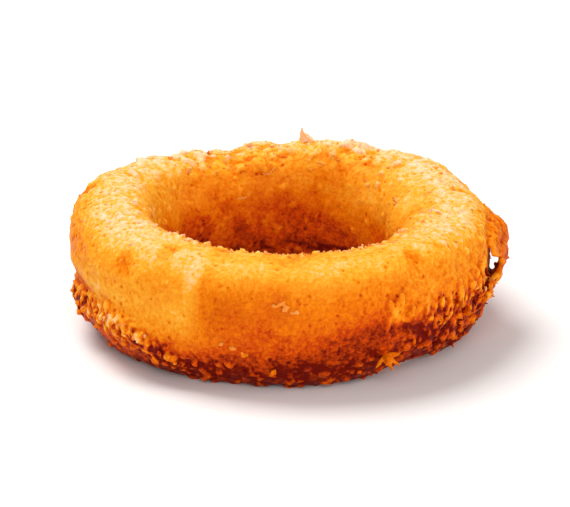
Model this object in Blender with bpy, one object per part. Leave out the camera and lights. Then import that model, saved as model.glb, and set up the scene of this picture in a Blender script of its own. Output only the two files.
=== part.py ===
"""One thick-cut onion ring in deep-fried batter, lying flat on its underside.

A tall, rounded band of onion wall, coated all over, so it is one closed solid. The batter has set
unevenly: the ring is a little out of round, its outer wall draws in towards the foot, its crest
rises and falls, the coat has soft lumps and a ragged frill along the lower outer edge, and a shard
of crust stands up at the back of the rim.

Metres, +Z up. The origin is the middle of the footprint, on the surface that the ring lies on.
Angles around the ring run from +X towards +Y, so the front of the ring is at -90 degrees.
Angles around the wall's section run from 0, facing outwards, through 90, on top, to 180, inwards.
"""

import math

import bpy
from mathutils import Matrix, Vector, noise

# Driving dimensions.
OUTER_DIAMETER = 0.0763
CREST_HEIGHT = 0.0235  # the top of the wall, before its rises and dips
WALL_WIDTH = 0.0160
BELLY_HEIGHT = 0.0137  # where the wall is widest
FOOT_DEPTH = 0.0007  # how much of the wall's round underside the flat foot takes off

# The torus that everything is shaped from.
MID_RADIUS = (OUTER_DIAMETER - WALL_WIDTH) / 2
STEPS_AROUND = 138
STEPS_SECTION = 26

# How square the wall's section is: 2 is an ellipse, and more is boxier.
UPPER_SQUARENESS = 2.6
LOWER_SQUARENESS = 1.9

# The coat of batter.
LUMP_SIZE, LUMP_DEPTH = 0.0095, 0.00075
KNOB_SIZE, KNOB_DEPTH = 0.0036, 0.00040
FRILL_SIZE, FRILL_DEPTH = 0.0026, 0.00085

# The shard of crust at the back of the rim.
SHARD_AROUND, SHARD_LEAN = 82, -26  # in degrees
SHARD_LENGTH, SHARD_WIDTH, SHARD_THINNESS = 0.0052, 0.0050, 0.4

CRUST_COLOUR = (0.83, 0.33, 0.045, 1.0)
CRUST_ROUGHNESS = 0.5


def wave(angle, times, peak):
    """A cosine that goes round the ring the given number of times, with a crest at peak, in degrees."""
    return math.cos(times * (angle - math.radians(peak)))


def near(angle, centre, reach):
    """1 at centre, falling smoothly to 0 at reach from it. centre and reach are in degrees."""
    away = (math.degrees(angle) - centre + 180) % 360 - 180
    t = min(abs(away) / reach, 1.0)
    return (1 - t * t) ** 2


def mid_radius(around):
    """Radius of the wall's centreline: slightly oval, with fuller shoulders at the back."""
    shoulders = 0.0013 * near(around, 142, 45) + 0.0008 * near(around, 42, 40)
    return MID_RADIUS * (1 + 0.006 * wave(around, 2, 10)) + shoulders


def outer_reach(around):
    """From the centreline to the outermost point of the wall."""
    return WALL_WIDTH / 2 * (1 + 0.03 * wave(around, 3, 180))


def inner_reach(around):
    """From the centreline to the innermost point of the wall, which is thickest at the right."""
    return WALL_WIDTH / 2 * (0.96 + 0.42 * near(around, 10, 70) + 0.06 * near(around, -140, 60))


def crest_height(around):
    """Height of the top of the wall: high at the left, and in a short step at the back."""
    rise = 0.0013 * near(around, 165, 60) + 0.0006 * near(around, 38, 40)
    step = 0.0015 * near(around, 76, 17)
    dip = -0.0008 * near(around, 112, 26)
    return CREST_HEIGHT + rise + step + dip


def foot_depth(around):
    """How far the underside reaches below the foot's plane, to be cut off. Less at the front right."""
    return FOOT_DEPTH - 0.0019 * near(around, -48, 30)


def section_point(around, section):
    """The wall's outline at this angle, as its reach outwards and up from the belly's centre."""
    wide = outer_reach(around) if math.cos(section) > 0 else inner_reach(around)
    if math.sin(section) > 0:
        tall, squareness = crest_height(around) - BELLY_HEIGHT, UPPER_SQUARENESS
    else:
        tall, squareness = BELLY_HEIGHT + foot_depth(around), LOWER_SQUARENESS
    across = abs(math.cos(section) / wide) ** squareness
    upward = abs(math.sin(section) / tall) ** squareness
    reach = (across + upward) ** (-1 / squareness)
    return reach * math.cos(section), reach * math.sin(section)


def frill_share(around, section):
    """How much of the ragged frill there is here: along the lower outer edge, in three stretches."""
    stretch = near(around, -145, 42) + 0.5 * near(around, -40, 45) + 0.7 * near(around, 75, 70)
    return min(stretch, 1.0) * near(section, -42, 34)


def coat_thickness(place, around, section):
    """What the batter's lumps, knobs, frill, crease and shelf add to the wall at a point."""
    lumps = LUMP_DEPTH * noise.noise(place / LUMP_SIZE)
    knobs = KNOB_DEPTH * noise.noise(place / KNOB_SIZE)
    frill = FRILL_DEPTH * (0.35 + abs(noise.noise(place / FRILL_SIZE))) * frill_share(around, section)
    crease = -0.0006 * near(around, -106, 9) * near(section, 20, 50)
    shelf = 0.0009 * near(around, 2, 22) * near(section, 8, 40)
    return lumps + knobs + frill + crease + shelf


def crust_point(around, section):
    """A point of the crust, before the foot is flattened."""
    outward = Vector((math.cos(around), math.sin(around), 0))
    facing = outward * math.cos(section) + Vector((0, 0, math.sin(section)))
    across, upward = section_point(around, section)
    surface = outward * (mid_radius(around) + across) + Vector((0, 0, BELLY_HEIGHT + upward))
    return surface + facing * coat_thickness(surface, around, section)


def crust_material():
    made = bpy.data.materials.new("fried_batter")
    made.use_nodes = True
    shader = made.node_tree.nodes["Principled BSDF"]
    shader.inputs["Base Color"].default_value = CRUST_COLOUR
    shader.inputs["Roughness"].default_value = CRUST_ROUGHNESS
    shader.inputs["Metallic"].default_value = 0.0
    return made


def ring_object():
    """The whole ring: a torus whose points are moved to the crust, with a flat foot."""
    bpy.ops.mesh.primitive_torus_add(
        major_segments=STEPS_AROUND,
        minor_segments=STEPS_SECTION,
        major_radius=MID_RADIUS,
        minor_radius=WALL_WIDTH / 2,
    )
    ring = bpy.context.object
    for vertex in ring.data.vertices:
        x, y, z = vertex.co
        around = math.atan2(y, x)
        section = math.atan2(z, math.hypot(x, y) - MID_RADIUS)
        vertex.co = crust_point(around, section)
        vertex.co.z = max(vertex.co.z, 0.0)
    return ring


def shard_object():
    """The shard: a thin cone with its foot sunk in the crest, leaning along the rim."""
    root = crust_point(math.radians(SHARD_AROUND), math.radians(82))
    bpy.ops.mesh.primitive_cone_add(
        vertices=10, radius1=SHARD_WIDTH / 2, radius2=0.0002, depth=SHARD_LENGTH
    )
    shard = bpy.context.object
    lean = Matrix.Rotation(math.radians(SHARD_LEAN), 4, "Y")
    thin = Matrix.Diagonal((1.0, SHARD_THINNESS, 1.0, 1.0))
    shard.data.transform(Matrix.Translation(root) @ lean @ thin)
    return shard


def join(target, tool):
    """Joins tool into target for good, so that they are one closed body."""
    union = target.modifiers.new("union", "BOOLEAN")
    union.operation = "UNION"
    union.object = tool
    bpy.context.view_layer.objects.active = target
    bpy.ops.object.modifier_apply(modifier=union.name)
    bpy.data.objects.remove(tool)


def centre_on_footprint(ring):
    """Puts the origin in the middle of the footprint, at the foot."""
    corners = [Vector(corner) for corner in ring.bound_box]
    low = Vector(min(corner[k] for corner in corners) for k in range(3))
    high = Vector(max(corner[k] for corner in corners) for k in range(3))
    middle = (low + high) / 2
    ring.data.transform(Matrix.Translation((-middle.x, -middle.y, -low.z)))


def move_to_collection(ring, name):
    parts = bpy.data.collections.new(name)
    bpy.context.scene.collection.children.link(parts)
    for owner in list(ring.users_collection):
        owner.objects.unlink(ring)
    parts.objects.link(ring)


def main():
    for obj in list(bpy.data.objects):
        bpy.data.objects.remove(obj)
    ring = ring_object()
    join(ring, shard_object())
    centre_on_footprint(ring)
    ring.name = ring.data.name = "onion_ring"
    ring.data.shade_smooth()
    ring.data.materials.append(crust_material())
    move_to_collection(ring, "onion_ring_parts")


main()
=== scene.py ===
"""The looks of one battered, deep-fried onion ring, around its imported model.

The crust is grown on the ring's plain solid: crumbs, drips and a lifted shell are laid on it and
fused with it, and then it gets its bubbles, pits and wrinkles. The shard on its rim and the loose
fine crumbs, flakes, threads and clusters of batter on it are pieces of their own.

Metres, +Z up. Angles around the ring run from +X towards +Y, so its front is at -90 degrees. Angles
around the wall's section run from 0, outwards, through 90, on top, to 180, inwards.
"""

import math
from typing import NamedTuple

import bmesh
import bpy
import numpy as np
from bpy.props import FloatProperty, FloatVectorProperty, IntProperty, PointerProperty
from mathutils import Matrix, Vector, noise
from mathutils.bvhtree import BVHTree


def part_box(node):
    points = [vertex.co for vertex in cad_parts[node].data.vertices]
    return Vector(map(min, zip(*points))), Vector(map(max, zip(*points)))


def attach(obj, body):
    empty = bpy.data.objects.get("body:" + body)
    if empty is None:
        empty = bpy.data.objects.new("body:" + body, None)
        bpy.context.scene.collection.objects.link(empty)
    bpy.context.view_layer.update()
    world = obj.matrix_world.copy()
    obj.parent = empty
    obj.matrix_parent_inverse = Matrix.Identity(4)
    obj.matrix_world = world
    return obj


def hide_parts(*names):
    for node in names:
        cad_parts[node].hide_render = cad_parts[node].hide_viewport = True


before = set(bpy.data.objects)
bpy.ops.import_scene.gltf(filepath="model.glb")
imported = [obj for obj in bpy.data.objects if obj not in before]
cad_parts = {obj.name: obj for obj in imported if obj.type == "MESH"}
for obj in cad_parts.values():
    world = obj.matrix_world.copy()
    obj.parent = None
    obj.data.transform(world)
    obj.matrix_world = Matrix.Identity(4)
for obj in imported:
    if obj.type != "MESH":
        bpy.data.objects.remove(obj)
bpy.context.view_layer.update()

bl_info = {
    "name": "Onion Ring",
    "version": (1, 0, 0),
    "blender": (4, 5, 0),
    "location": "View3D > Sidebar > Onion Ring",
    "description": "Battered and deep-fried onion ring with its crumbs, flakes and studio",
    "category": "Object",
}

RING_LOW, RING_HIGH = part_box("onion_ring")
MM = 0.001

# The circle through the middle of the ring's wall. The ring is a little wider than it is deep, so
# the circle lies a little inside the middle at its two wide ends.
WALL_WIDTH = 16 * MM
OUT_OF_ROUND = 0.8 * MM
MID_RADIUS = (RING_HIGH.x - RING_LOW.x - WALL_WIDTH) / 2 - OUT_OF_ROUND
BELLY_HEIGHT = 13.5 * MM  # about where the wall is widest
FLOOR_GAP = 0.05 * MM  # between the crust's lowest points and the floor
FLOOR_SIZE = 12  # metres

# Where the seeds of the random draws start, and how far apart the kinds of crumbs lie.
FUSED_SEED = 100
LOOSE_SEED = 1000
LOOSE_SEED_STEP = 1000
STREWN_SEED_STEP = 10
FUSED_CLUMP_SEED = 50
LOOSE_CLUMP_SEED = 150

# The grids of points that the lifted shell and the shard are made on.
SHELL_ROWS, SHELL_COLUMNS = 31, 21
SHARD_ROWS, SHARD_COLUMNS = 16, 12

# Loose bits are drier than the crust, so they brown less and take less of the painted shade. All of them
# stand proud, so they take the painted light of raised batter.
LOOSE_BROWNED_AND_SHADED = 0.85
CLUSTER_BROWNED_AND_SHADED = 0.72
LOOSE_PROUD = 0.6


def from_hex(text, alpha=1.0):
    """An sRGB colour such as E8A040, as linear red, green, blue and alpha."""
    steps = [int(text[k:k + 2], 16) / 255 for k in (0, 2, 4)]
    linear = [s / 12.92 if s <= 0.04045 else ((s + 0.055) / 1.055) ** 2.4 for s in steps]
    return (*linear, alpha)


def add(tree, kind, inputs=(), **settings):
    """Adds a node with its settings. inputs are values for the inputs in use, in their order, or named
    or numbered in a dictionary. A value may be another node's output, or a node, for its first output."""
    node = tree.nodes.new(kind)
    for name, value in settings.items():
        setattr(node, name, value)
    in_use = [socket for socket in node.inputs if socket.enabled]
    pairs = inputs.items() if isinstance(inputs, dict) else enumerate(inputs)
    for key, value in pairs:
        socket = in_use[key] if isinstance(key, int) else next(s for s in in_use if s.name == key)
        if isinstance(value, bpy.types.Node):
            value = next(out for out in value.outputs if out.enabled)
        if isinstance(value, bpy.types.NodeSocket):
            tree.links.new(value, socket)
        else:
            socket.default_value = value
    return node


# Places on the ring.

class Push(NamedTuple):
    """A smooth push on the crust around one place. Places and reaches are angles, in degrees."""

    around: float
    around_reach: float
    section: float
    section_reach: float
    outward: float  # in mm
    upward: float


PUSHES = (
    Push(0, 26, 3, 42, -1.9, 0),  # behind the lifted shell, for a gap to see through
    Push(-168, 34, -17, 20, -1.5, 0),  # above the ragged edge on the left, which then stands out
    Push(-160, 26, -37, 13, 0.9, 0),
    Push(-140, 20, -31, 12, 1.0, 0),
    Push(-124, 13, -50, 13, 0.7, 0),
    Push(69, 11, 85, 60, 0, 0.75),  # the shoulder and the knobs along the back
    Push(100, 7, 80, 50, 0, 0.7),
    Push(113, 5, 80, 45, 0, 0.5),
    Push(124, 5, 80, 45, 0, 0.4),
    Push(48, 6, 80, 45, 0, 0.6),
    Push(34, 6, 80, 45, 0, 0.5),
    Push(168, 14, 60, 35, 0.5, 0.4),
)

# Soft hollows where a wide bubble has sunk: angle around, angle around the section, and width in mm.
DIMPLES = (
    (-140, 49, 3.2),
    (-128, 76, 2.6),
    (-50, 66, 3.0),
    (170, 60, 2.4),
    (12, 78, 2.4),
    (118, 70, 2.8),
    (60, 40, 3.0),
)


class BrowningAndShade(NamedTuple):
    """More browning around one place, and less where it is below 0; some rows are painted shade and some
    painted light. Places and reaches are in degrees.
    """

    around: float
    around_reach: float
    section: float
    section_reach: float
    amount: float  # as a share of the whole scale from pale to brown


BROWNING_AND_SHADE = (
    # The next two rows are painted shade, darker low on the right of the front.
    BrowningAndShade(-52, 42, -40, 52, 0.24),  # the right of the front, low down
    BrowningAndShade(-67, 28, -28, 36, 0.20),
    BrowningAndShade(-59, 4, 2, 16, -0.32),  # the pale streak where the drips begin
    BrowningAndShade(-2, 22, 5, 70, 0.24),  # the lifted shell
    # The next row is painted shade, darker along the lower edge in front.
    BrowningAndShade(-88, 50, -66, 34, 0.09),  # the lower edge in front
    # The next row is painted shade, darker in the crevice where the ragged edge on the left ends.
    BrowningAndShade(-126, 5, -42, 9, 0.30),  # the crevice where the ragged edge on the left ends
    BrowningAndShade(105, 125, -52, 48, -0.15),  # the back and the sides, low down
    # The next two rows are painted light: paler on the left of the front, and paler along the seam's crest.
    BrowningAndShade(-140, 46, -12, 46, -0.22),  # the left of the front
    BrowningAndShade(-116, 4, 45, 50, -0.12),  # the seam down the front
    BrowningAndShade(92, 40, 100, 30, 0.09),  # the rim at the back
    BrowningAndShade(-90, 70, 92, 36, 0.20),  # the rim in front
    # The next two rows are painted light, paler high inside the hole on the walls that the light falls on.
    BrowningAndShade(175, 60, 150, 50, -0.11),  # high inside the hole, on the left and on the right
    BrowningAndShade(20, 55, 150, 50, -0.25),
)
DIMPLE_BROWNING = 0.2
MOST_BROWNED_AND_SHADED = 0.9


def near(angle, centre, reach):
    """1 at centre, falling smoothly to 0 at reach from it, for an array of angles. All in degrees."""
    away = (angle - centre + 180) % 360 - 180
    t = np.minimum(np.abs(away) / reach, 1.0)
    return (1 - t * t) ** 2


def angles_of(points):
    """Each point's angle around the ring and around the wall's section, in degrees."""
    x, y, z = points.T
    around = np.degrees(np.arctan2(y, x))
    section = np.degrees(np.arctan2(z - BELLY_HEIGHT, np.hypot(x, y) - MID_RADIUS))
    return around, section


def zones_of(points):
    """How much of each kind of surface there is at each point, and how browned it is with painted light and
    shade, from 0 to 1.
    """
    around, section = angles_of(points)
    # The ragged lower edge: high on the left, where it overhangs, and low in front.
    edge = np.interp(
        around,
        (-180, -159, -143, -132, -124, -115, -90, -62, -20, 60, 120, 180),
        (-38, -34, -29, -37, -53, -66, -72, -58, -50, -46, -44, -38),
    )
    raggedness = np.interp(
        around,
        (-180, -160, -120, -112, -90, -62, -30, 20, 60, 120, 165, 180),
        (0.55, 1.0, 1.0, 0.35, 0.15, 0.4, 0.5, 0.35, 0.5, 0.5, 0.4, 0.55),
    )
    fringe = near(section, edge, 18 + 7 * near(around, 70, 120)) * raggedness
    overhang = near(section, edge, 13) * (near(around, -140, 34) + 0.6 * near(around, 120, 40))
    drips = near(around, -30, 40) * near(section, -18, 42)
    drips = drips + 0.5 * near(around, 60, 40) * near(section, -35, 35)
    froth = near(section, 75, 75) * (near(around, 180, 75) + near(around, 15, 85) + near(around, 95, 60))
    rim = near(section, 100, 46) * near(around, 95, 70) * (1 - 0.9 * near(around, 82, 14))
    lip = near(section, 111, 13) * near(around, -90, 115)
    inside = np.clip(near(section, 180, 88) * 1.35, 0, 1)
    calm = near(around, -98, 74) * near(section, 20, 95)
    under = near(section, -98, 56)
    foot = 1 - points[:, 2] / (4 * MM)
    ridge = near(around, -116, 4) * near(section, 45, 50)
    dimples = sum(
        near(around, at_around, 1.7 * width) * near(section, at_section, 7 * width)
        for at_around, at_section, width in DIMPLES
    )

    # How far the batter has browned, with painted light and shade in it: least on top, partly painted light,
    # more down the outer wall, partly painted shade, and most low inside the hole, mostly painted shade.
    outer_browning_and_shade = np.interp(
        section, (-90, -66, -45, -25, 0, 40, 75, 100), (0.93, 0.85, 0.74, 0.60, 0.49, 0.38, 0.11, 0.09)
    )
    inner_browning_and_shade = np.interp(
        section % 360, (100, 125, 160, 190, 215, 270), (0.09, 0.36, 0.54, 0.69, 0.81, 0.93)
    )
    browning_and_shade = np.where((section > 100) | (section < -90), inner_browning_and_shade, outer_browning_and_shade)
    # Browner across the front, with painted light and shade at the seam: paler on its left and browner on its
    # right, where the batter bends.
    front = np.interp(
        around,
        (-160, -150, -118, -112, -90, -79, -68, -50, -35),
        (0, -0.06, -0.10, 0.14, 0.15, 0.06, 0.10, 0.05, 0),
    )
    browning_and_shade = browning_and_shade + front * near(section, 15, 75)
    for place in BROWNING_AND_SHADE:
        share = near(around, place.around, place.around_reach)
        share = share * near(section, place.section, place.section_reach)
        browning_and_shade = browning_and_shade + place.amount * share
    browning_and_shade = np.minimum(browning_and_shade + DIMPLE_BROWNING * dimples, MOST_BROWNED_AND_SHADED)
    found = {
        "fringe": fringe, "overhang": overhang, "drips": drips, "froth": froth, "rim": rim, "lip": lip,
        "inside": inside, "calm": calm, "under": under, "foot": foot, "ridge": ridge, "dimples": dimples,
        "browning_and_shade": browning_and_shade,
    }
    return {name: np.clip(values, 0, 1) for name, values in found.items()}


def mark_zones(mesh, share_browned_and_shaded=1.0, proud=None):
    """Writes the zones on the mesh's points, as attributes of the same names.

    The second argument is the share of the browning, with its painted light and shade, that the mesh takes.
    proud is how far all of it stands out, for a mesh where that isn't measured.
    """
    points = np.empty(len(mesh.vertices) * 3, np.float32)
    mesh.vertices.foreach_get("co", points)
    marks = zones_of(points.reshape(-1, 3))
    marks["browning_and_shade"] = marks["browning_and_shade"] * share_browned_and_shaded
    if proud is not None:
        marks["proud"] = np.full(len(mesh.vertices), proud)
    for name, values in marks.items():
        mesh.attributes.new(name, "FLOAT", "POINT").data.foreach_set("value", values.astype(np.float32))


def on_crust(tree, around, section):
    """The point and normal of the crust at these angles, in degrees, along a ray from inside the wall."""
    turn, rise = math.radians(around), math.radians(section)
    outward = Vector((math.cos(turn), math.sin(turn), 0))
    start = outward * MID_RADIUS + Vector((0, 0, BELLY_HEIGHT))
    facing = outward * math.cos(rise) + Vector((0, 0, math.sin(rise)))
    place, normal, _, _ = tree.ray_cast(start, facing)
    if place is None:
        raise RuntimeError(f"no crust at {around}, {section}")
    return place, normal if normal.dot(facing) > 0 else -normal


# Making and finishing meshes.

def finished(name, mesh):
    """A smooth piece from a mesh whose place is in its points, riding on the ring's one body."""
    mesh.shade_smooth()
    mesh.name = name
    piece = bpy.data.objects.new(name, mesh)
    bpy.context.scene.collection.objects.link(piece)
    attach(piece, "root")
    return piece


def evaluated(mesh, *modifiers):
    """The mesh after modifiers, each one a type and its settings by name. Those of a geometry tree are
    the tree itself, as node_group, and its inputs."""
    holder = bpy.data.objects.new("holder", mesh)
    bpy.context.scene.collection.objects.link(holder)
    for kind, settings in modifiers:
        modifier = holder.modifiers.new(kind.lower(), kind)
        for name, value in settings.items():
            if kind == "NODES" and name != "node_group":
                sockets = modifier.node_group.interface.items_tree
                modifier[sockets[name].identifier] = value
            else:
                setattr(modifier, name, value)
    graph = bpy.context.evaluated_depsgraph_get()
    result = bpy.data.meshes.new_from_object(holder.evaluated_get(graph))
    holder.modifiers.clear()
    bpy.data.objects.remove(holder)
    return result


def plain_ring():
    """A closed copy of the ring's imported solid."""
    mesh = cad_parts["onion_ring"].data.copy()
    work = bmesh.new()
    work.from_mesh(mesh)
    bmesh.ops.remove_doubles(work, verts=work.verts, dist=1e-6)
    work.to_mesh(mesh)
    work.free()
    mesh.materials.clear()
    return mesh


def surface_of(mesh):
    """A mesh as a tree that rays can be cast on."""
    work = bmesh.new()
    work.from_mesh(mesh)
    tree = BVHTree.FromBMesh(work)
    work.free()
    return tree


def new_tree(name, inputs):
    """A geometry tree with a geometry input and output and the named inputs: (name, type, default)."""
    tree = bpy.data.node_groups.new(name, "GeometryNodeTree")
    tree.interface.new_socket("Geometry", in_out="INPUT", socket_type="NodeSocketGeometry")
    tree.interface.new_socket("Result", in_out="OUTPUT", socket_type="NodeSocketGeometry")
    for label, kind, default in inputs:
        socket = tree.interface.new_socket(label, in_out="INPUT", socket_type="NodeSocket" + kind)
        if default is not None:
            socket.default_value = default
    given = tree.nodes.new("NodeGroupInput")
    result = tree.nodes.new("NodeGroupOutput")
    return tree, given.outputs, result


class Strewn(NamedTuple):
    """One kind of crumb, flake or thread, where it lies and how it stands."""

    zone: str
    per_cm2: float
    smallest: float  # width, in mm
    largest: float
    stretch: float = 1.0  # length for width, so that a flake is far below 1 and a thread far above
    tilt: tuple = (0, 180)  # how far it leans from the crust's normal, in degrees
    hanging: bool = False  # true for a drip, which hangs straight down instead


FUSED = (
    Strewn("overhang", 66, 0.9, 2.0),
    Strewn("fringe", 30, 0.8, 2.2, 0.7, (0, 40)),
    Strewn("fringe", 24, 0.7, 1.5),
    Strewn("fringe", 50, 0.4, 0.9),
    Strewn("drips", 30, 0.35, 0.7, 5.0, (0, 20), True),
    Strewn("drips", 26, 0.6, 1.2, 3.5, (0, 20), True),
    Strewn("drips", 14, 0.5, 1.1),
    Strewn("rim", 8, 1.8, 3.0, 0.6, (0, 40)),
    Strewn("rim", 16, 0.8, 1.6),
    Strewn("lip", 34, 0.9, 1.5),
    Strewn("froth", 12, 0.5, 1.1),
    Strewn("inside", 8, 0.6, 1.2),
    Strewn("under", 9, 1.0, 2.4, 0.6, (0, 40)),
    Strewn("under", 14, 0.5, 1.2),
)
LOOSE = {
    "fine_crumbs": (
        Strewn("fringe", 60, 0.35, 0.8),
        Strewn("lip", 110, 0.35, 0.75),
        Strewn("rim", 14, 0.3, 0.7),
        Strewn("froth", 8, 0.3, 0.5),
        Strewn("inside", 7, 0.3, 0.6),
        Strewn("drips", 30, 0.3, 0.6),
    ),
    "crust_flakes": (
        Strewn("overhang", 10, 1.0, 2.0, 0.2, (20, 100)),
        Strewn("rim", 1.5, 1.0, 1.8, 0.2, (30, 90)),
        Strewn("drips", 8, 1.0, 2.0, 0.2, (50, 110)),
        Strewn("lip", 6, 0.7, 1.2, 0.2, (40, 90)),
    ),
    "batter_threads": (
        Strewn("drips", 9, 0.26, 0.4, 8.0, (50, 100)),
        Strewn("inside", 1.8, 0.26, 0.36, 8.0, (60, 95)),
        Strewn("froth", 1.6, 0.26, 0.36, 7.0, (70, 95)),
        Strewn("rim", 1.5, 0.26, 0.4, 7.0, (50, 95)),
    ),
}


def scattered(tree, ground, kind, amount, seed, lumpiness):
    """One kind of crumb, strewn over ground at random, with each one bent by the same noise."""
    where = add(tree, "GeometryNodeInputNamedAttribute", {"Name": kind.zone}, data_type="FLOAT")
    density = add(tree, "ShaderNodeMath", (amount, kind.per_cm2 * 1e4), operation="MULTIPLY")
    density = add(tree, "ShaderNodeMath", (density, where), operation="MULTIPLY")
    strewn = add(
        tree, "GeometryNodeDistributePointsOnFaces", {"Mesh": ground, "Density": density, "Seed": seed}
    )
    size = add(
        tree, "FunctionNodeRandomValue",
        {"Min": kind.smallest * MM, "Max": kind.largest * MM, "Seed": seed + 1}, data_type="FLOAT",
    )
    shape = add(
        tree, "FunctionNodeRandomValue",
        {"Min": (0.75, 0.75, 0.6 * kind.stretch), "Max": (1.25, 1.25, 1.1 * kind.stretch), "Seed": seed + 2},
        data_type="FLOAT_VECTOR",
    )
    scale = add(tree, "ShaderNodeVectorMath", {0: shape, "Scale": size}, operation="SCALE")
    low, high = (math.radians(angle) for angle in kind.tilt)
    turn = add(
        tree, "FunctionNodeRandomValue",
        {"Min": (low, -0.2, 0), "Max": (high, 0.2, math.tau), "Seed": seed + 3}, data_type="FLOAT_VECTOR",
    )
    if not kind.hanging:
        turn = add(
            tree, "FunctionNodeRotateRotation", {"Rotation": strewn.outputs["Rotation"], "Rotate By": turn},
            rotation_space="LOCAL",
        )
    rounds = 3 if kind.stretch > 3 else 2
    ball = add(tree, "GeometryNodeMeshIcoSphere", {"Radius": 0.5, "Subdivisions": rounds})
    placed = add(
        tree, "GeometryNodeInstanceOnPoints",
        {"Points": strewn.outputs["Points"], "Instance": ball, "Rotation": turn, "Scale": scale},
    )
    real = add(tree, "GeometryNodeRealizeInstances", {0: placed})
    bend = add(tree, "ShaderNodeTexNoise", {"Scale": 1 / (0.9 * MM), "Detail": 2.0}, noise_dimensions="3D")
    centred = add(
        tree, "ShaderNodeVectorMath", {0: bend.outputs["Color"], 1: (0.5, 0.5, 0.5)}, operation="SUBTRACT"
    )
    offset = add(tree, "ShaderNodeVectorMath", {0: centred, "Scale": lumpiness}, operation="SCALE")
    return add(tree, "GeometryNodeSetPosition", {"Geometry": real, "Offset": offset})


def strewn_tree(name, kinds, first_seed, keep_ground):
    """Strews the given ground with kinds of crumbs, and gives them back with or without the ground."""
    tree, given, result = new_tree(name, [
        ("Amount", "Float", 1.0),
        ("Lumpiness", "Float", 0.7 * MM),
        ("Batter", "Material", None),
    ])
    ground = given["Geometry"]
    grown = []
    if keep_ground:
        ground = add(tree, "GeometryNodeSubdivisionSurface", {"Mesh": ground, "Level": 2})
        grown.append(ground)
    for number, kind in enumerate(kinds):
        seed = first_seed + STREWN_SEED_STEP * number
        grown.append(scattered(tree, ground, kind, given["Amount"], seed, given["Lumpiness"]))
    joined = add(tree, "GeometryNodeJoinGeometry")
    for part in reversed(grown):
        tree.links.new(part.outputs[0], joined.inputs[0])
    real = add(tree, "GeometryNodeRealizeInstances", {0: joined})
    coated = add(tree, "GeometryNodeSetMaterial", {"Geometry": real, "Material": given["Batter"]})
    tree.links.new(coated.outputs[0], result.inputs[0])
    return tree


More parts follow.
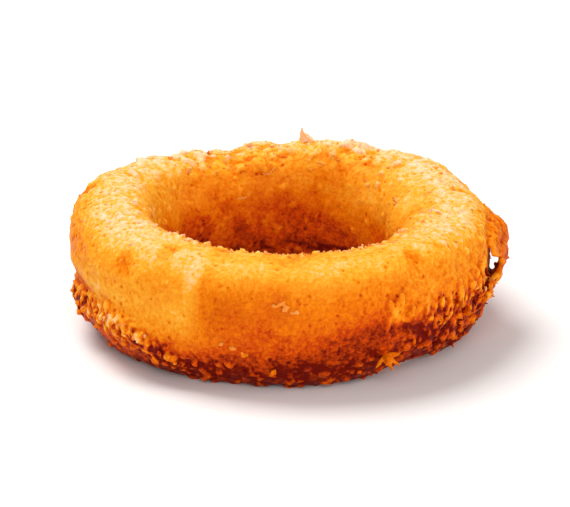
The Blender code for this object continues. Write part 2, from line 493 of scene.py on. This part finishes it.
def relief_tree():
    """Blends the fused crumbs into the crust and gives it knobs, bubbles, pits and wrinkles."""
    tree, given, result = new_tree("crust_relief", [
        ("Knob height", "Float", 0.3 * MM),
        ("Bubble height", "Float", 0.06 * MM),
        ("Pit depth", "Float", 0.22 * MM),
        ("Wrinkle height", "Float", 0.13 * MM),
        ("Peel height", "Float", 0.07 * MM),
        ("Dimple depth", "Float", 0.3 * MM),
        ("Ridge height", "Float", 0.22 * MM),
        ("Batter", "Material", None),
    ])
    place = add(tree, "GeometryNodeInputPosition")
    normal = add(tree, "GeometryNodeInputNormal")
    blurred = add(
        tree, "GeometryNodeBlurAttribute", {"Value": place, "Iterations": 1}, data_type="FLOAT_VECTOR"
    )
    soft = add(tree, "GeometryNodeSetPosition", {"Geometry": given["Geometry"], "Position": blurred})

    here = {
        name: add(tree, "GeometryNodeInputNamedAttribute", {"Name": name}, data_type="FLOAT")
        for name in ("calm", "froth", "rim", "inside", "foot", "dimples", "ridge")
    }
    # One noise for each size in mm: knobs, patches of pits, wrinkles and the fine orange-peel relief.
    noise_of = {
        size: add(tree, "ShaderNodeTexNoise", {"Scale": 1 / (size * MM), "Detail": detail})
        for size, detail in ((4.2, 1.0), (5.5, 2.0), (1.1, 1.0), (0.8, 2.0))
    }
    bubbles = add(tree, "ShaderNodeTexVoronoi", {"Scale": 1 / (1.9 * MM)})
    pits = add(tree, "ShaderNodeTexVoronoi", {"Scale": 1 / (1.5 * MM)})
    crease = add(tree, "ShaderNodeMath", (noise_of[1.1], 0.5), operation="SUBTRACT")
    crease = add(tree, "ShaderNodeMath", (crease,), operation="ABSOLUTE")

    lively = add(tree, "ShaderNodeMath", (here["calm"], here["inside"]), operation="MAXIMUM")
    lively = add(tree, "ShaderNodeMapRange", (lively, 0.0, 1.0, 1.0, 0.25))
    knobbly = add(tree, "ShaderNodeMapRange", (here["rim"], 0.0, 0.6, 0.45, 1.6))
    knobbly = add(tree, "ShaderNodeMath", (knobbly, lively), operation="MULTIPLY")
    pitted = add(tree, "ShaderNodeMapRange", (noise_of[5.5], 0.42, 0.58, 0.0, 1.0))
    pitted = add(tree, "ShaderNodeMath", (pitted, lively), operation="MULTIPLY")
    frothy = add(tree, "ShaderNodeMapRange", (here["froth"], 0.1, 0.9, 0.1, 1.0))

    # Each pattern is mapped from one range of values to a share of its height, and counts in one place.
    patterns = (
        (noise_of[4.2], 0.3, 0.7, -1.0, 1.0, knobbly, "Knob height"),
        (bubbles, 0.0, 0.55, 1.0, 0.0, lively, "Bubble height"),
        (pits, 0.1, 0.34, -1.0, 0.0, pitted, "Pit depth"),
        (crease, 0.0, 0.11, 1.0, 0.0, frothy, "Wrinkle height"),
        (noise_of[0.8], 0.3, 0.7, -1.0, 1.0, 1.0, "Peel height"),
        (here["dimples"], 0.0, 1.0, 0.0, -1.0, 1.0, "Dimple depth"),
        (here["ridge"], 0.0, 1.0, 0.0, 1.0, 1.0, "Ridge height"),
    )
    height = 0.0
    for pattern, low, high, at_low, at_high, where, label in patterns:
        share = add(
            tree, "ShaderNodeMapRange", (pattern, low, high, at_low, at_high), interpolation_type="SMOOTHSTEP"
        )
        share = add(tree, "ShaderNodeMath", (share, where), operation="MULTIPLY")
        height = add(tree, "ShaderNodeMath", (share, given[label], height), operation="MULTIPLY_ADD")
    flatter = add(tree, "ShaderNodeMapRange", (here["foot"], 0.0, 1.0, 1.0, 0.3))
    height = add(tree, "ShaderNodeMath", (height, flatter), operation="MULTIPLY")
    offset = add(tree, "ShaderNodeVectorMath", {0: normal, "Scale": height}, operation="SCALE")
    raised = add(tree, "GeometryNodeSetPosition", {"Geometry": soft, "Offset": offset})

    parts = add(tree, "ShaderNodeSeparateXYZ", (place,))
    above_floor = add(tree, "ShaderNodeMath", (parts.outputs["Z"], FLOOR_GAP), operation="MAXIMUM")
    stood = add(tree, "ShaderNodeCombineXYZ", (parts.outputs["X"], parts.outputs["Y"], above_floor))
    standing = add(tree, "GeometryNodeSetPosition", {"Geometry": raised, "Position": stood})

    # How far each point stands out of the crust around it, for the colour: painted light where it stands out
    # and painted shade in the gaps.
    wide = add(
        tree, "GeometryNodeBlurAttribute", {"Value": place, "Iterations": 18}, data_type="FLOAT_VECTOR"
    )
    proud = add(tree, "ShaderNodeVectorMath", (place, wide), operation="SUBTRACT")
    proud = add(tree, "ShaderNodeVectorMath", (proud, normal), operation="DOT_PRODUCT")
    proud = add(tree, "ShaderNodeMath", (proud, 0.22 * MM), operation="DIVIDE")
    stored = add(
        tree, "GeometryNodeStoreNamedAttribute", {"Geometry": standing, "Name": "proud", "Value": proud},
        data_type="FLOAT", domain="POINT",
    )
    real = add(tree, "GeometryNodeRealizeInstances", (stored,))
    coated = add(tree, "GeometryNodeSetMaterial", {"Geometry": real, "Material": given["Batter"]})
    tree.links.new(coated.outputs[0], result.inputs[0])
    return tree


def plate(rows):
    """A closed plate through rows of (point, normal, thickness), each row as long as the next."""
    work = bmesh.new()
    sheets = []
    for side in (0.5, -0.5):
        sheets.append([[work.verts.new(p + n * (t * side)) for p, n, t in row] for row in rows])
    last_row, last_column = len(rows) - 1, len(rows[0]) - 1
    for sheet, turned in zip(sheets, (False, True)):
        for r in range(last_row):
            for c in range(last_column):
                ring = [sheet[r][c], sheet[r][c + 1], sheet[r + 1][c + 1], sheet[r + 1][c]]
                work.faces.new(reversed(ring) if turned else ring)
    outer, inner = sheets
    border = [(0, c) for c in range(last_column)] + [(r, last_column) for r in range(last_row)]
    border += [(last_row, c) for c in range(last_column, 0, -1)] + [(r, 0) for r in range(last_row, 0, -1)]
    for (r0, c0), (r1, c1) in zip(border, border[1:] + border[:1]):
        work.faces.new((outer[r1][c1], outer[r0][c0], inner[r0][c0], inner[r1][c1]))
    bmesh.ops.recalc_face_normals(work, faces=work.faces)
    return work


def shell_plate(tree):
    """The shell of crust that has lifted off the right of the ring, held at its top and its bottom."""
    rows = []
    for up in np.linspace(0, 1, SHELL_ROWS):
        # Both of its free edges are notched, one higher than the other, and a line of sight passes there.
        # The edges are angles around the ring, in degrees.
        front = np.interp(up, (0, 0.27, 0.39, 0.56, 0.72, 1), (-27, -19, -8, -8, -16, -10))
        back = np.interp(up, (0, 0.12, 0.4, 0.6, 1), (7, 1, 1, 5, 12))
        front += 3.0 * noise.noise(Vector((9 * up, 0, 0)))
        back += 3.0 * noise.noise(Vector((9 * up, 9, 0)))
        lift = 1.35 * MM * math.sin(math.pi * up) ** 0.6 - 0.4 * MM
        section = -38 + 84 * up
        row = []
        for across in np.linspace(0, 1, SHELL_COLUMNS):
            place, normal = on_crust(tree, front + (back - front) * across, section)
            ragged = noise.noise(place / (2.0 * MM))
            fine = noise.noise(place / (0.9 * MM))
            thickness = (1.0 + 0.5 * ragged + 0.35 * fine) * MM
            row.append((place + normal * (lift + (0.3 * ragged + 0.2 * fine) * MM), normal, thickness))
        rows.append(row)
    return plate(rows)


def push_out(mesh):
    """Moves the mesh's points by all the pushes."""
    points = np.empty(len(mesh.vertices) * 3, np.float32)
    mesh.vertices.foreach_get("co", points)
    points = points.reshape(-1, 3)
    around, section = angles_of(points)
    outwards = points[:, :2] / np.hypot(points[:, 0], points[:, 1])[:, None]
    for push in PUSHES:
        share = near(around, push.around, push.around_reach) * near(section, push.section, push.section_reach)
        points[:, :2] += outwards * (share * push.outward * MM)[:, None]
        points[:, 2] += share * push.upward * MM
    mesh.vertices.foreach_set("co", points.ravel())


class Clump(NamedTuple):
    """A crumb of several arms of batter that have set together at one place on the crust."""

    around: float
    section: float
    arms: int
    length: float  # of an arm, in mm
    width: float
    lean: float  # 0 for arms that lie flat, 1 for arms that stand straight out
    fan: float = 360.0  # how widely the arms spread, around straight down, in degrees


# Clumps that have set into the crust, along the ragged edge and as the strokes of the drips.
FUSED_CLUMPS = (
    Clump(-132, -34, 7, 1.8, 0.8, 0.4),
    Clump(-141, -28, 6, 1.5, 0.8, 0.3),
    Clump(-126, -48, 7, 1.6, 0.8, 0.4),
    Clump(-152, -33, 6, 1.4, 0.8, 0.4),
    Clump(-24, -24, 6, 1.6, 0.7, 0.3),
    Clump(-58, 12, 3, 3.0, 1.1, 0.15, 30),
    Clump(-60, 2, 4, 3.0, 1.1, 0.15, 50),
    Clump(-55, -5, 2, 2.4, 0.8, 0.15, 24),
    Clump(-36, 6, 2, 2.6, 0.8, 0.15, 24),
    Clump(-30, 0, 3, 3.0, 0.8, 0.15, 40),
    Clump(-24, 10, 2, 2.6, 0.8, 0.15, 24),
    Clump(-44, -4, 2, 2.2, 0.8, 0.15, 30),
    Clump(66, 74, 6, 1.2, 1.3, 0.2),
    Clump(150, -36, 6, 1.5, 0.8, 0.3),
    Clump(75, -44, 7, 1.6, 0.8, 0.3),
)
# Clumps that only cling to the crust: a large star of crumbs, short strokes, and crumbs in a row.
LOOSE_CLUMPS = (
    Clump(-62, -47, 7, 3.0, 1.0, 0.5),
    Clump(-92.5, 27, 2, 2.0, 0.65, 0.05, 240),
    Clump(-90, 23, 5, 1.0, 0.8, 0.1, 200),
    Clump(-87, 19, 3, 1.1, 0.65, 0.1, 200),
    Clump(-107, -27, 4, 0.7, 0.75, 0.2),
    Clump(-104, -34, 3, 1.2, 0.7, 0.1, 160),
    Clump(-101, -41, 4, 0.9, 0.75, 0.2),
    Clump(-93, -58, 4, 1.2, 0.7, 0.3),
    Clump(97, 134, 2, 2.0, 0.4, 0.05, 280),
    Clump(108, 158, 2, 1.8, 0.4, 0.05, 250),
    Clump(-130, -33, 7, 1.0, 0.7, 0.5),
    Clump(-146, -31, 6, 0.9, 0.65, 0.5),
    Clump(-20, -16, 5, 1.0, 0.7, 0.2),
    Clump(138, -38, 6, 1.0, 0.8, 0.4),
    Clump(88, -40, 6, 1.1, 0.8, 0.4),
    Clump(40, -30, 5, 1.0, 0.7, 0.3),
)


def clump_lumps(tree, clump, seed):
    """The arms of a clump, each a stretched ball, to be fused by the voxel remesh."""
    draw = np.random.default_rng(seed)
    place, normal = on_crust(tree, clump.around, clump.section)
    sideways = normal.cross(Vector((0, 0, 1))).normalized()
    downward = sideways.cross(normal)
    work = bmesh.new()
    for arm in range(clump.arms):
        turn = math.radians(clump.fan) * ((arm + 0.25 + 0.5 * draw.random()) / clump.arms - 0.5)
        flat = downward * math.cos(turn) + sideways * math.sin(turn)
        lean = min(clump.lean * (0.4 + 1.2 * draw.random()), 1.0)
        facing = (flat * (1 - lean) + normal * lean).normalized()
        length = clump.length * MM * (0.4 + 0.8 * draw.random())
        width = clump.width * MM * (0.7 + 0.5 * draw.random())
        middle = place + facing * (length * 0.45)
        stretch = Matrix.Diagonal((width, width * 0.8, length * 1.2, 1))
        stood = Matrix.Translation(middle) @ facing.to_track_quat("Z", "X").to_matrix().to_4x4() @ stretch
        bmesh.ops.create_icosphere(work, subdivisions=2, radius=0.5, matrix=stood)
    return work


def with_extras(mesh, extras):
    """The mesh with closed forms joined to it, to be fused by the voxel remesh."""
    work = bmesh.new()
    work.from_mesh(mesh)
    for extra in extras:
        spare = bpy.data.meshes.new("spare")
        extra.to_mesh(spare)
        extra.free()
        work.from_mesh(spare)
        bpy.data.meshes.remove(spare)
    joined = bpy.data.meshes.new("with_extras")
    work.to_mesh(joined)
    work.free()
    return joined


def shard_mesh(tree):
    """The thin shard that stands on the back of the rim, upright on its left and hollowed on its right."""
    root, _ = on_crust(tree, 84, 88)
    base_z = root.z - 0.9 * MM
    tip_z = RING_HIGH.z + 0.7 * MM
    rows = []
    for up in np.linspace(0, 1, SHARD_ROWS):
        left = root.x - 0.7 * MM + 0.5 * MM * up
        right = root.x + 0.1 * MM + 6.5 * MM * (1 - up) ** 2.4
        row = []
        for across in np.linspace(0, 1, SHARD_COLUMNS):
            place = Vector((
                left + (right - left) * across,
                root.y - 0.5 * MM * up,
                base_z + (tip_z - base_z) * up,
            ))
            ragged = noise.noise(place / (1.1 * MM))
            place.y += 0.3 * MM * ragged
            place.x += 0.15 * MM * ragged * (1 - up)
            row.append((place, Vector((0, 1, 0)), (1.1 - 0.75 * up + 0.25 * ragged) * MM))
        rows.append(row)
    work = plate(rows)
    mesh = bpy.data.meshes.new("shard")
    work.to_mesh(mesh)
    work.free()
    return evaluated(mesh, ("SUBSURF", {"levels": 1, "render_levels": 1}))


# Finishes.

def batter_material(name, colours, roughness, grain, subsurface):
    """Deep-fried wheat batter: a dry, set foam with a film of oil, and light glowing a little way into it.

    The eye sees one scale of browning, with painted light and shade in it. It runs from pale gold where it
    stands proud and on top, partly painted light, through orange, to red-brown along the ragged edge and, as
    painted shade, in the gaps and low inside the hole, with pores, small dark specks and a broken, soft
    shine. colours are that scale, palest first, and then the specks'.
    grain is the height of the finest relief, in metres. subsurface is the share of the light that
    enters the batter and glows out of it.
    """
    *scale, speck_colour = colours
    material = bpy.data.materials.new(name)
    material.use_nodes = True
    tree = material.node_tree
    shader = tree.nodes["Principled BSDF"]
    place = add(tree, "ShaderNodeTexCoord").outputs["Object"]
    here = {
        zone: add(tree, "ShaderNodeAttribute", attribute_name=zone).outputs["Fac"]
        for zone in ("browning_and_shade", "proud", "fringe", "drips", "under", "calm", "inside")
    }
    noise_of = {
        size: add(
            tree, "ShaderNodeTexNoise",
            {"Vector": place, "Scale": 1 / (size * MM), "Detail": detail, "Roughness": 0.55},
        ).outputs["Fac"]
        for size, detail in ((9.0, 3.0), (5.5, 2.0), (2.4, 3.0), (2.0, 3.0), (0.9, 3.0), (0.45, 2.0))
    }

    crumbly = add(tree, "ShaderNodeMath", (here["drips"], 0.85), operation="MULTIPLY")
    crumbly = add(tree, "ShaderNodeMath", (crumbly, here["fringe"]), operation="MAXIMUM")
    below = add(tree, "ShaderNodeMath", (here["under"], 0.35), operation="MULTIPLY")
    crumbly = add(tree, "ShaderNodeMath", (crumbly, below), operation="MAXIMUM")
    even = add(tree, "ShaderNodeMath", (here["calm"], here["inside"]), operation="MAXIMUM")
    even = add(tree, "ShaderNodeMapRange", (even, 0.0, 1.0, 1.0, 0.55))
    deep_browning_and_shade = add(tree, "ShaderNodeMapRange", (here["browning_and_shade"], 0.55, MOST_BROWNED_AND_SHADED, 0.0, 1.0))
    relief_shading = add(tree, "ShaderNodeMapRange", (crumbly, 0.0, 1.0, 1.0, 1.7))
    relief_shading = add(tree, "ShaderNodeMath", (relief_shading, even), operation="MULTIPLY")
    pores = add(tree, "ShaderNodeTexVoronoi", {"Vector": place, "Scale": 1 / (1.5 * MM)})
    porous = add(tree, "ShaderNodeMapRange", (noise_of[5.5], 0.42, 0.58, 0.0, 1.0))

    # Each pattern is mapped from one range of values to a change on the scale of browning and painted shade,
    # and counts in one place.
    patterns = (
        (here["proud"], 0.9, -1.3, -0.09, 0.34, relief_shading),  # painted light where it stands out, painted shade in the gaps
        (here["proud"], 0.1, 1.0, 0.03, -0.15, crumbly),  # paler crumbs
        (noise_of[9.0], 0.34, 0.66, -0.04, 0.04, 1.0),  # wide, faint patches
        (noise_of[5.5], 0.38, 0.62, -0.05, 0.06, here["inside"]),
        (noise_of[5.5], 0.35, 0.65, -0.09, 0.06, deep_browning_and_shade),
        (noise_of[0.9], 0.35, 0.65, 0.02, -0.02, deep_browning_and_shade),
        (noise_of[2.0], 0.32, 0.68, 0.025, -0.025, even),
        (noise_of[0.9], 0.32, 0.68, 0.05, -0.05, even),
        (noise_of[0.45], 0.32, 0.68, 0.035, -0.035, 1.0),  # the finest grain
        (noise_of[2.4], 0.35, 0.62, -0.18, 0.2, crumbly),  # crumbs that browned more than others
        (pores.outputs["Distance"], 0.3, 0.1, 0.0, 0.15, porous),  # brown pores
    )
    browning_with_shade = here["browning_and_shade"]
    for pattern, low, high, at_low, at_high, where in patterns:
        change = add(
            tree, "ShaderNodeMapRange", (pattern, low, high, at_low, at_high), interpolation_type="SMOOTHSTEP"
        )
        browning_with_shade = add(tree, "ShaderNodeMath", (change, where, browning_with_shade), operation="MULTIPLY_ADD")
    colour = add(tree, "ShaderNodeValToRGB", (browning_with_shade,))
    stops = colour.color_ramp.elements
    while len(stops) < len(scale):
        stops.new(0.5)
    for index, shade in enumerate(scale):
        stops[index].position = index / (len(scale) - 1)
        stops[index].color = shade

    # Small burnt specks, under 1 mm across, in about one cell of four.
    cells = add(tree, "ShaderNodeTexVoronoi", {"Vector": place, "Scale": 1 / (3.4 * MM)})
    few = add(tree, "ShaderNodeSeparateColor", (cells.outputs["Color"],))
    few = add(tree, "ShaderNodeMapRange", (few, 0.72, 0.82, 0.0, 0.55))
    speck = add(tree, "ShaderNodeMapRange", (cells.outputs["Distance"], 0.13, 0.05, 0.0, 1.0))
    speck = add(tree, "ShaderNodeMath", (speck, few), operation="MULTIPLY")
    colour = add(tree, "ShaderNodeMix", (speck, colour, speck_colour), data_type="RGBA")
    tree.links.new(colour.outputs[2], shader.inputs["Base Color"])

    shine = add(
        tree, "ShaderNodeMapRange", (noise_of[2.0], 0.3, 0.7, roughness - 0.12, roughness + 0.12),
        interpolation_type="SMOOTHSTEP",
    )
    tree.links.new(shine.outputs[0], shader.inputs["Roughness"])
    heights = add(tree, "ShaderNodeMath", (noise_of[0.45], 0.5, noise_of[0.9]), operation="MULTIPLY_ADD")
    bump = add(tree, "ShaderNodeBump", {"Height": heights, "Distance": grain, "Strength": 0.8})
    tree.links.new(bump.outputs["Normal"], shader.inputs["Normal"])

    # The oil has mostly soaked in, so there is little shine. The light that enters comes out warmer.
    shader.inputs["IOR"].default_value = 1.4
    shader.inputs["Specular IOR Level"].default_value = 0.07
    shader.inputs["Subsurface Weight"].default_value = subsurface
    shader.inputs["Subsurface Radius"].default_value = (1.0, 0.4, 0.1)
    shader.inputs["Subsurface Scale"].default_value = 2.0 * MM
    return material


def floor_material():
    """Matt white mounting board: an even, faintly warm white with no shine."""
    material = bpy.data.materials.new("matt_white_board")
    material.use_nodes = True
    tree = material.node_tree
    shader = tree.nodes["Principled BSDF"]
    place = add(tree, "ShaderNodeTexCoord").outputs["Object"]
    fibres = add(tree, "ShaderNodeTexNoise", {"Vector": place, "Scale": 1 / (30 * MM), "Detail": 2.0})
    shades = (from_hex("F4F3F1"), from_hex("F6F5F3"))
    tone = add(tree, "ShaderNodeMix", (fibres.outputs["Fac"], *shades), data_type="RGBA")
    tree.links.new(tone.outputs[2], shader.inputs["Base Color"])
    shader.inputs["Roughness"].default_value = 0.9
    shader.inputs["Specular IOR Level"].default_value = 0.2
    return material


# What a user would change.

def colour_property(name, description, code):
    """A colour that a user can change, from its sRGB code."""
    return FloatVectorProperty(
        name=name, description=description, default=from_hex(code), size=4, min=0, max=1, subtype="COLOR"
    )


def length_property(name, description, default):
    """A length that a user can change, in metres."""
    return FloatProperty(
        name=name, description=description, default=default, min=0, unit="LENGTH", precision=5
    )


def share_property(name, description):
    """How much of something there is, as a share of the usual amount."""
    return FloatProperty(name=name, description=description, default=1.0, min=0, subtype="FACTOR", soft_max=2)


def power_property(name, description, default):
    """A light's power, in watts."""
    return FloatProperty(name=name, description=description, default=default, min=0, unit="POWER")


class OnionRingCrust(bpy.types.PropertyGroup):
    """The batter: its crumbs, its relief and its colours"""

    voxel: length_property("Voxel", "Grid that fuses the crumbs with the crust", 0.00027)
    fine_voxel: length_property("Fine voxel", "Grid that fuses the arms of a loose clump", 0.0002)
    lumpiness: length_property("Lumpiness", "How far a crumb is bent out of round", 0.0007)
    crumb_amount: share_property("Crumb amount", "Share of the fused crumbs")
    loose_amount: share_property("Loose amount", "Share of the loose crumbs")
    knob_height: length_property("Knob height", "Height of the soft knobs", 0.0003)
    bubble_height: length_property("Bubble height", "Height of the set bubbles", 0.00006)
    pit_depth: length_property("Pit depth", "Depth of the burst bubbles", 0.00022)
    wrinkle_height: length_property("Wrinkle height", "Height of the froth's wrinkles", 0.00013)
    peel_height: length_property("Peel height", "Height of the fine orange-peel relief", 0.00007)
    dimple_depth: length_property("Dimple depth", "Depth of the wide, sunken bubbles", 0.0003)
    ridge_height: length_property("Ridge height", "Height of the seam down the front", 0.00022)
    triangles: IntProperty(
        name="Triangles", description="Most triangles that the crust keeps", default=192000, min=1000
    )
    # The browner stops also stand for painted shade low down, low inside the hole and in the gaps, and the
    # palest stop for painted light on top.
    pale: colour_property("Pale", "Least browned batter, on top", "FCD0A6")
    gold: colour_property("Gold", "Lightly browned batter", "FAAB2A")
    orange: colour_property("Orange", "Batter on the even faces", "EC7D03")
    russet: colour_property("Russet", "Well browned batter, low and inside", "CB4500")
    brown: colour_property("Brown", "Most browned batter, low down and in gaps", "6E0D00")
    speck: colour_property("Specks", "Small burnt specks", "A6480A")
    crumb: colour_property("Crumbs", "Loose crumbs, drier and paler than the crust", "F0A455")


class OnionRingStudio(bpy.types.PropertyGroup):
    """The camera, the lights and the white surround"""

    fill: FloatProperty(
        name="Fill", description="The ring's width as a share of the frame's", default=0.76, min=0.1, max=1,
        subtype="FACTOR",
    )
    elevation: FloatProperty(
        name="Elevation", description="How far the camera looks down", default=math.radians(20),
        subtype="ANGLE",
    )
    distance: length_property("Distance", "From the camera to the ring", 0.75)
    key_power: power_property("Key power", "Strength of the main light, high on the left behind", 7.0)
    front_power: power_property("Front power", "Strength of the front light", 4.0)
    side_power: power_property("Side power", "Strength of the right light", 2.2)
    surround: FloatProperty(
        name="Surround", description="Strength of the white surround", default=0.32, min=0
    )


def batter_of(settings, name, gold, subsurface):
    """The batter in the user's colours, with the given gold."""
    colours = (settings.pale, gold, settings.orange, settings.russet, settings.brown, settings.speck)
    return batter_material(name, colours, roughness=0.5, grain=0.16 * MM, subsurface=subsurface)


class ONIONRING_OT_crust(bpy.types.Operator):
    """Grow the battered crust on the ring's plain solid"""

    bl_idname = "onion_ring.crust"
    bl_label = "Crust"

    def execute(self, context):
        settings = context.scene.onion_ring_crust
        batter = batter_of(settings, "fried_batter", settings.gold, subsurface=0.4)
        base = plain_ring()
        tree = surface_of(base)
        push_out(base)
        mark_zones(base)
        built = evaluated(base, ("NODES", {
            "node_group": strewn_tree("batter_build_up", FUSED, FUSED_SEED, keep_ground=True),
            "Amount": settings.crumb_amount, "Lumpiness": settings.lumpiness, "Batter": batter,
        }))
        extras = [shell_plate(tree)]
        for number, clump in enumerate(FUSED_CLUMPS):
            extras.append(clump_lumps(tree, clump, FUSED_CLUMP_SEED + number))
        joined = with_extras(built, extras)
        fused = evaluated(joined, ("REMESH", {"mode": "VOXEL", "voxel_size": settings.voxel}))
        mark_zones(fused)
        relief = evaluated(fused, ("NODES", {
            "node_group": relief_tree(), "Knob height": settings.knob_height,
            "Bubble height": settings.bubble_height, "Pit depth": settings.pit_depth,
            "Wrinkle height": settings.wrinkle_height, "Peel height": settings.peel_height,
            "Dimple depth": settings.dimple_depth, "Ridge height": settings.ridge_height, "Batter": batter,
        }))
        relief.calc_loop_triangles()
        share = min(settings.triangles / len(relief.loop_triangles), 1.0)
        piece = finished("battered_crust", evaluated(relief, ("DECIMATE", {"ratio": share})))
        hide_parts("onion_ring")
        return {"FINISHED"}


class ONIONRING_OT_shard(bpy.types.Operator):
    """Stand the thin shard of batter on the back of the rim"""

    bl_idname = "onion_ring.shard"
    bl_label = "Shard"

    def execute(self, context):
        settings = context.scene.onion_ring_crust
        mesh = shard_mesh(surface_of(plain_ring()))
        mesh.materials.append(batter_of(settings, "fried_shard", settings.gold, subsurface=0.1))
        mark_zones(mesh, LOOSE_BROWNED_AND_SHADED, LOOSE_PROUD)
        finished("shard", mesh)
        return {"FINISHED"}


class ONIONRING_OT_loose(bpy.types.Operator):
    """Strew the crust with fine crumbs, flakes and threads of batter, and set clusters of crumbs on it"""

    bl_idname = "onion_ring.loose"
    bl_label = "Loose Crumbs"

    def execute(self, context):
        settings = context.scene.onion_ring_crust
        batter = batter_of(settings, "fried_crumbs", settings.crumb, subsurface=0.05)
        crust = context.scene.objects["battered_crust"].data
        for number, (name, kinds) in enumerate(LOOSE.items()):
            ground = crust.copy()
            ground.materials.clear()
            seed = LOOSE_SEED + LOOSE_SEED_STEP * number
            mesh = evaluated(ground, ("NODES", {
                "node_group": strewn_tree(name, kinds, seed, keep_ground=False),
                "Amount": settings.loose_amount, "Lumpiness": settings.lumpiness, "Batter": batter,
            }))
            mark_zones(mesh, LOOSE_BROWNED_AND_SHADED, LOOSE_PROUD)
            finished(name, mesh)

        tree = surface_of(plain_ring())
        arms = [
            clump_lumps(tree, clump, LOOSE_CLUMP_SEED + number) for number, clump in enumerate(LOOSE_CLUMPS)
        ]
        joined = with_extras(bpy.data.meshes.new("clumps"), arms)
        mesh = evaluated(joined, ("REMESH", {"mode": "VOXEL", "voxel_size": settings.fine_voxel}))
        mesh.materials.append(batter)
        mark_zones(mesh, CLUSTER_BROWNED_AND_SHADED, LOOSE_PROUD)
        finished("crumb_clusters", mesh)
        return {"FINISHED"}


class ONIONRING_OT_studio(bpy.types.Operator):
    """Lay the floor and set the lights and the camera"""

    bl_idname = "onion_ring.studio"
    bl_label = "Studio"

    def execute(self, context):
        settings = context.scene.onion_ring_studio
        scene = context.scene
        bpy.ops.mesh.primitive_plane_add(size=FLOOR_SIZE)
        floor = context.object
        floor.name = floor.data.name = "floor"
        floor.data.materials.append(floor_material())

        middle = (RING_LOW + RING_HIGH) / 2
        width = RING_HIGH.x - RING_LOW.x
        camera_data = bpy.data.cameras.new("camera")
        camera_data.lens = camera_data.sensor_width * settings.distance * settings.fill / width
        camera = bpy.data.objects.new("camera", camera_data)
        away = Vector((0, -math.cos(settings.elevation), math.sin(settings.elevation)))
        camera.location = middle + away * settings.distance
        camera.rotation_euler = (-away).to_track_quat("-Z", "Y").to_euler()
        scene.collection.objects.link(camera)
        scene.camera = camera

        # Each light's name, place, width and power.
        lights = (
            ("key", (-0.30, 0.28, 0.75), 0.6, settings.key_power),
            ("front", (0.05, -0.85, 0.45), 0.7, settings.front_power),
            ("right", (0.80, -0.20, 0.30), 0.5, settings.side_power),
        )
        for name, place, size, power in lights:
            data = bpy.data.lights.new(name, "AREA")
            data.shape = "DISK"
            data.size = size
            data.energy = power
            light = bpy.data.objects.new(name, data)
            light.location = place
            light.rotation_euler = (middle - light.location).to_track_quat("-Z", "Y").to_euler()
            scene.collection.objects.link(light)

        world = bpy.data.worlds.new("white_surround")
        world.use_nodes = True
        surround = world.node_tree.nodes["Background"]
        surround.inputs["Color"].default_value = (1, 1, 1, 1)
        surround.inputs["Strength"].default_value = settings.surround
        scene.world = world
        scene.view_settings.view_transform = "Standard"
        return {"FINISHED"}


class ONIONRING_PT_panel(bpy.types.Panel):
    """The ring's pieces and their settings"""

    bl_idname = "ONIONRING_PT_panel"
    bl_label = "Onion Ring"
    bl_space_type = "VIEW_3D"
    bl_region_type = "UI"
    bl_category = "Onion Ring"

    def draw(self, context):
        for group, kind in GROUPS.items():
            for operator, its_group in STEPS:
                if its_group == group:
                    self.layout.operator(operator.bl_idname)
            for name in kind.__annotations__:
                self.layout.prop(getattr(context.scene, group), name)


GROUPS = {"onion_ring_crust": OnionRingCrust, "onion_ring_studio": OnionRingStudio}
# The operators in their order, each with the group of its settings.
STEPS = (
    (ONIONRING_OT_crust, "onion_ring_crust"),
    (ONIONRING_OT_shard, "onion_ring_crust"),
    (ONIONRING_OT_loose, "onion_ring_crust"),
    (ONIONRING_OT_studio, "onion_ring_studio"),
)


def register():
    """Adds the settings, the operators and the panel."""
    for name, group in GROUPS.items():
        bpy.utils.register_class(group)
        setattr(bpy.types.Scene, name, PointerProperty(type=group))
    for operator, _ in STEPS:
        bpy.utils.register_class(operator)
    bpy.utils.register_class(ONIONRING_PT_panel)


def unregister():
    """Takes them away again."""
    bpy.utils.unregister_class(ONIONRING_PT_panel)
    for operator, _ in reversed(STEPS):
        bpy.utils.unregister_class(operator)
    for name, group in reversed(GROUPS.items()):
        delattr(bpy.types.Scene, name)
        bpy.utils.unregister_class(group)


def main():
    """Makes every piece and the studio."""
    register()
    for operator, _ in STEPS:
        family, name = operator.bl_idname.split(".")
        getattr(getattr(bpy.ops, family), name)()


if __name__ == "__main__":
    main()
